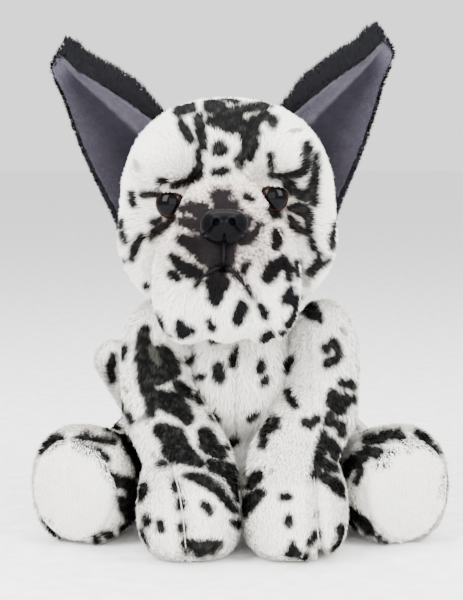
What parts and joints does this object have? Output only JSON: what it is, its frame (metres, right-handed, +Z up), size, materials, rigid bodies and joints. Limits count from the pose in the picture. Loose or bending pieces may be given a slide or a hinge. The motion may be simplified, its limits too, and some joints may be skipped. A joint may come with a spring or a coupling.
{
  "type": "plush dog",
  "caption": "Sitting harlequin plush dog with upright pointed ears, a heavy muzzle, moulded eyes and nose, and sewn legs and tail.",
  "frame": {"origin": "on the floor, under the middle of the toy", "axes": "+Z up, the face looks along -Y, +X is the dog's own left"},
  "size_m": [0.2258, 0.1966, 0.2785],
  "materials": {
    "plush_harlequin": "long-pile plush, white with printed black harlequin spots",
    "plush_short": "short-pile plush, white with printed black spots and an airbrushed grey shade",
    "plush_white": "long-pile white plush",
    "plush_black": "shaggy black plush",
    "minky_grey": "very short grey-violet pile with a slight sheen",
    "stuffing": "loose polyester fibre",
    "pouch_cotton": "plain woven cotton",
    "pellet": "polyethylene beads",
    "eye_lens": "clear moulded plastic, polished",
    "eye_iris": "brown iris with a black pupil",
    "washer": "white moulded plastic",
    "nose": "black moulded plastic, polished",
    "thread_black": "embroidery thread",
    "thread_white": "sewing thread"
  },
  "bodies": {
    "torso": {"torso_cover_left": "plush_harlequin", "torso_cover_right": "plush_harlequin", "seat_panel": "plush_harlequin", "torso_stuffing": "stuffing", "seat_pouch": "pouch_cotton", "seat_pellets": "pellet", "neck_stitch": "thread_white"},
    "head": {"face_left": "plush_harlequin", "face_right": "plush_harlequin", "forehead_gusset": "plush_harlequin", "muzzle_cover": "plush_short", "head_stuffing": "stuffing", "eye_left_lens": "eye_lens", "eye_left_base": "eye_iris", "eye_left_washer": "washer", "eye_right_lens": "eye_lens", "eye_right_base": "eye_iris", "eye_right_washer": "washer", "nose": "nose", "nose_washer": "washer", "mouth_stitch": "thread_black"},
    "ear_left": {"ear_left_outer": "plush_black", "ear_left_inner": "minky_grey"},
    "ear_right": {"ear_right_outer": "plush_black", "ear_right_inner": "minky_grey"},
    "foreleg_left": {"foreleg_left_outer": "plush_harlequin", "foreleg_left_inner": "plush_harlequin", "foreleg_left_stuffing": "stuffing", "foreleg_left_toe_stitch": "thread_white"},
    "foreleg_right": {"foreleg_right_outer": "plush_harlequin", "foreleg_right_inner": "plush_harlequin", "foreleg_right_stuffing": "stuffing", "foreleg_right_toe_stitch": "thread_white"},
    "hindleg_left": {"hindleg_left_outer": "plush_harlequin", "hindleg_left_inner": "plush_harlequin", "hindleg_left_sole": "plush_white", "hindleg_left_stuffing": "stuffing"},
    "hindleg_right": {"hindleg_right_outer": "plush_harlequin", "hindleg_right_inner": "plush_harlequin", "hindleg_right_sole": "plush_white", "hindleg_right_stuffing": "stuffing"},
    "tail": {"tail_cover": "plush_harlequin", "tail_stuffing": "stuffing"}
  },
  "joints": [
    {"name": "neck_turn", "type": "hinge", "parent": "torso", "child": "head", "pos_m": [0, 0.017, 0.12], "axis": [0, 0, 1], "range_deg": [-15, 15], "stiffness_Nm_per_rad": 0.25},
    {"name": "ear_left_fold", "type": "hinge", "parent": "head", "child": "ear_left", "pos_m": [0.03753, 0.007, 0.21481], "axis": [0.5983, 0, -0.8013], "range_deg": [-8, 30], "stiffness_Nm_per_rad": 0.02},
    {"name": "ear_right_fold", "type": "hinge", "parent": "head", "child": "ear_right", "pos_m": [-0.05648, 0.007, 0.20879], "axis": [0.498, 0, 0.8672], "range_deg": [-8, 30], "stiffness_Nm_per_rad": 0.02},
    {"name": "foreleg_left_swing", "type": "hinge", "parent": "torso", "child": "foreleg_left", "pos_m": [0.047, -0.011, 0.099], "axis": [-1, 0, 0], "range_deg": [0, 35], "stiffness_Nm_per_rad": 0.3},
    {"name": "foreleg_right_swing", "type": "hinge", "parent": "torso", "child": "foreleg_right", "pos_m": [-0.047, -0.011, 0.099], "axis": [-1, 0, 0], "range_deg": [0, 35], "stiffness_Nm_per_rad": 0.3},
    {"name": "hindleg_left_splay", "type": "hinge", "parent": "torso", "child": "hindleg_left", "pos_m": [0.052, 0.033, 0.032], "axis": [0, 0, 1], "range_deg": [0, 25], "stiffness_Nm_per_rad": 0.3},
    {"name": "hindleg_right_splay", "type": "hinge", "parent": "torso", "child": "hindleg_right", "pos_m": [-0.052, 0.033, 0.032], "axis": [0, 0, -1], "range_deg": [0, 25], "stiffness_Nm_per_rad": 0.3},
    {"name": "tail_wag", "type": "hinge", "parent": "torso", "child": "tail", "pos_m": [-0.006, 0.077, 0.032], "axis": [0, 0, -1], "range_deg": [0, 30], "stiffness_Nm_per_rad": 0.05}
  ]
}
